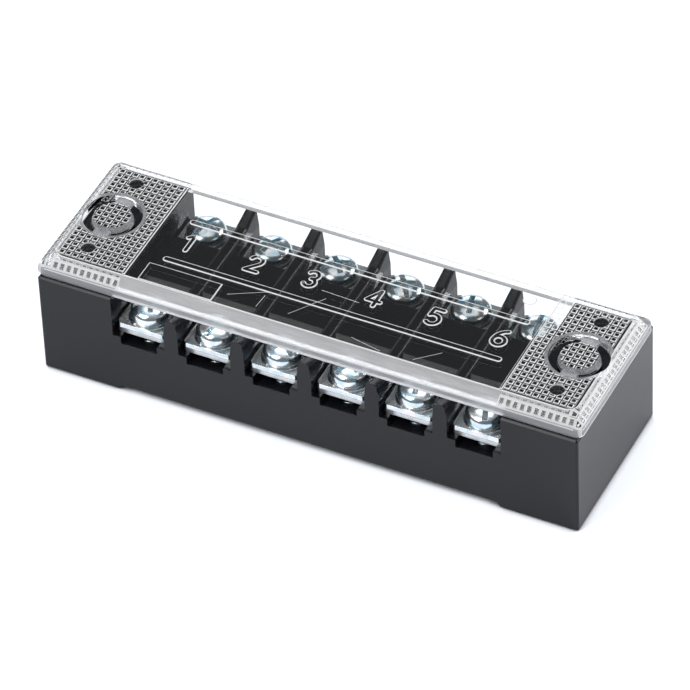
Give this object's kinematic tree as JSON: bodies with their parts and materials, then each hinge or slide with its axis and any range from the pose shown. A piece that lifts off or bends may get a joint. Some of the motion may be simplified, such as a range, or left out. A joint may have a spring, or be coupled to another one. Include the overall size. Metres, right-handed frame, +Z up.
{
  "type": "barrier terminal strip",
  "caption": "Double-row barrier terminal strip: black base with fins between poles, plated screw clamps, mounting holes at both ends and a clear lift-off cover.",
  "frame": {"origin": "centre of the footprint at the level of the feet", "axes": "+X along the row of poles, +Y from the front row to the rear row, +Z up out of the screw heads"},
  "size_m": [0.0918, 0.0282, 0.0223],
  "materials": {
    "black_plastic": "smooth moulded, slightly glossy",
    "clear_plastic": "clear moulded, knurled end pads",
    "plated_strip": "bright plated",
    "plated_clamp": "bright zinc plated",
    "plated_screw": "bright zinc plated"
  },
  "bodies": {
    "base": {"base": "black_plastic", "strip_1": "plated_strip", "strip_2": "plated_strip", "strip_3": "plated_strip", "strip_4": "plated_strip", "strip_5": "plated_strip", "strip_6": "plated_strip"},
    "cover": {"cover": "clear_plastic"},
    "front_clamp_1": {"front_clamp_1": "plated_clamp"},
    "front_screw_1": {"front_screw_1": "plated_screw"},
    "rear_clamp_1": {"rear_clamp_1": "plated_clamp"},
    "rear_screw_1": {"rear_screw_1": "plated_screw"},
    "front_clamp_2": {"front_clamp_2": "plated_clamp"},
    "front_screw_2": {"front_screw_2": "plated_screw"},
    "rear_clamp_2": {"rear_clamp_2": "plated_clamp"},
    "rear_screw_2": {"rear_screw_2": "plated_screw"},
    "front_clamp_3": {"front_clamp_3": "plated_clamp"},
    "front_screw_3": {"front_screw_3": "plated_screw"},
    "rear_clamp_3": {"rear_clamp_3": "plated_clamp"},
    "rear_screw_3": {"rear_screw_3": "plated_screw"},
    "front_clamp_4": {"front_clamp_4": "plated_clamp"},
    "front_screw_4": {"front_screw_4": "plated_screw"},
    "rear_clamp_4": {"rear_clamp_4": "plated_clamp"},
    "rear_screw_4": {"rear_screw_4": "plated_screw"},
    "front_clamp_5": {"front_clamp_5": "plated_clamp"},
    "front_screw_5": {"front_screw_5": "plated_screw"},
    "rear_clamp_5": {"rear_clamp_5": "plated_clamp"},
    "rear_screw_5": {"rear_screw_5": "plated_screw"},
    "front_clamp_6": {"front_clamp_6": "plated_clamp"},
    "front_screw_6": {"front_screw_6": "plated_screw"},
    "rear_clamp_6": {"rear_clamp_6": "plated_clamp"},
    "rear_screw_6": {"rear_screw_6": "plated_screw"}
  },
  "joints": [
    {"name": "cover_lift_off", "type": "slide", "parent": "base", "child": "cover", "axis": [0, 0, 1], "range_m": [0, 0.03]},
    {"name": "front_clamp_1_lift", "type": "slide", "parent": "base", "child": "front_clamp_1", "axis": [0, 0, 1], "range_m": [0, 0.0025]},
    {"name": "front_screw_1_turn", "type": "hinge", "parent": "front_clamp_1", "child": "front_screw_1", "pos_m": [-0.02838, -0.0095, 0.01375], "axis": [0, 0, 1], "range_deg": [0, 1286]},
    {"name": "rear_clamp_1_lift", "type": "slide", "parent": "base", "child": "rear_clamp_1", "axis": [0, 0, 1], "range_m": [0, 0.0025]},
    {"name": "rear_screw_1_turn", "type": "hinge", "parent": "rear_clamp_1", "child": "rear_screw_1", "pos_m": [-0.02838, 0.0095, 0.01375], "axis": [0, 0, 1], "range_deg": [0, 1286]},
    {"name": "front_clamp_2_lift", "type": "slide", "parent": "base", "child": "front_clamp_2", "axis": [0, 0, 1], "range_m": [0, 0.0025]},
    {"name": "front_screw_2_turn", "type": "hinge", "parent": "front_clamp_2", "child": "front_screw_2", "pos_m": [-0.01702, -0.0095, 0.01375], "axis": [0, 0, 1], "range_deg": [0, 1286]},
    {"name": "rear_clamp_2_lift", "type": "slide", "parent": "base", "child": "rear_clamp_2", "axis": [0, 0, 1], "range_m": [0, 0.0025]},
    {"name": "rear_screw_2_turn", "type": "hinge", "parent": "rear_clamp_2", "child": "rear_screw_2", "pos_m": [-0.01702, 0.0095, 0.01375], "axis": [0, 0, 1], "range_deg": [0, 1286]},
    {"name": "front_clamp_3_lift", "type": "slide", "parent": "base", "child": "front_clamp_3", "axis": [0, 0, 1], "range_m": [0, 0.0025]},
    {"name": "front_screw_3_turn", "type": "hinge", "parent": "front_clamp_3", "child": "front_screw_3", "pos_m": [-0.00568, -0.0095, 0.01375], "axis": [0, 0, 1], "range_deg": [0, 1286]},
    {"name": "rear_clamp_3_lift", "type": "slide", "parent": "base", "child": "rear_clamp_3", "axis": [0, 0, 1], "range_m": [0, 0.0025]},
    {"name": "rear_screw_3_turn", "type": "hinge", "parent": "rear_clamp_3", "child": "rear_screw_3", "pos_m": [-0.00568, 0.0095, 0.01375], "axis": [0, 0, 1], "range_deg": [0, 1286]},
    {"name": "front_clamp_4_lift", "type": "slide", "parent": "base", "child": "front_clamp_4", "axis": [0, 0, 1], "range_m": [0, 0.0025]},
    {"name": "front_screw_4_turn", "type": "hinge", "parent": "front_clamp_4", "child": "front_screw_4", "pos_m": [0.00568, -0.0095, 0.01375], "axis": [0, 0, 1], "range_deg": [0, 1286]},
    {"name": "rear_clamp_4_lift", "type": "slide", "parent": "base", "child": "rear_clamp_4", "axis": [0, 0, 1], "range_m": [0, 0.0025]},
    {"name": "rear_screw_4_turn", "type": "hinge", "parent": "rear_clamp_4", "child": "rear_screw_4", "pos_m": [0.00568, 0.0095, 0.01375], "axis": [0, 0, 1], "range_deg": [0, 1286]},
    {"name": "front_clamp_5_lift", "type": "slide", "parent": "base", "child": "front_clamp_5", "axis": [0, 0, 1], "range_m": [0, 0.0025]},
    {"name": "front_screw_5_turn", "type": "hinge", "parent": "front_clamp_5", "child": "front_screw_5", "pos_m": [0.01702, -0.0095, 0.01375], "axis": [0, 0, 1], "range_deg": [0, 1286]},
    {"name": "rear_clamp_5_lift", "type": "slide", "parent": "base", "child": "rear_clamp_5", "axis": [0, 0, 1], "range_m": [0, 0.0025]},
    {"name": "rear_screw_5_turn", "type": "hinge", "parent": "rear_clamp_5", "child": "rear_screw_5", "pos_m": [0.01702, 0.0095, 0.01375], "axis": [0, 0, 1], "range_deg": [0, 1286]},
    {"name": "front_clamp_6_lift", "type": "slide", "parent": "base", "child": "front_clamp_6", "axis": [0, 0, 1], "range_m": [0, 0.0025]},
    {"name": "front_screw_6_turn", "type": "hinge", "parent": "front_clamp_6", "child": "front_screw_6", "pos_m": [0.02838, -0.0095, 0.01375], "axis": [0, 0, 1], "range_deg": [0, 1286]},
    {"name": "rear_clamp_6_lift", "type": "slide", "parent": "base", "child": "rear_clamp_6", "axis": [0, 0, 1], "range_m": [0, 0.0025]},
    {"name": "rear_screw_6_turn", "type": "hinge", "parent": "rear_clamp_6", "child": "rear_screw_6", "pos_m": [0.02838, 0.0095, 0.01375], "axis": [0, 0, 1], "range_deg": [0, 1286]}
  ],
  "couplings": [
    {"joint": "front_screw_1_turn", "follows": "front_clamp_1_lift", "rad_per_m": 8976},
    {"joint": "rear_screw_1_turn", "follows": "rear_clamp_1_lift", "rad_per_m": 8976},
    {"joint": "front_screw_2_turn", "follows": "front_clamp_2_lift", "rad_per_m": 8976},
    {"joint": "rear_screw_2_turn", "follows": "rear_clamp_2_lift", "rad_per_m": 8976},
    {"joint": "front_screw_3_turn", "follows": "front_clamp_3_lift", "rad_per_m": 8976},
    {"joint": "rear_screw_3_turn", "follows": "rear_clamp_3_lift", "rad_per_m": 8976},
    {"joint": "front_screw_4_turn", "follows": "front_clamp_4_lift", "rad_per_m": 8976},
    {"joint": "rear_screw_4_turn", "follows": "rear_clamp_4_lift", "rad_per_m": 8976},
    {"joint": "front_screw_5_turn", "follows": "front_clamp_5_lift", "rad_per_m": 8976},
    {"joint": "rear_screw_5_turn", "follows": "rear_clamp_5_lift", "rad_per_m": 8976},
    {"joint": "front_screw_6_turn", "follows": "front_clamp_6_lift", "rad_per_m": 8976},
    {"joint": "rear_screw_6_turn", "follows": "rear_clamp_6_lift", "rad_per_m": 8976}
  ]
}
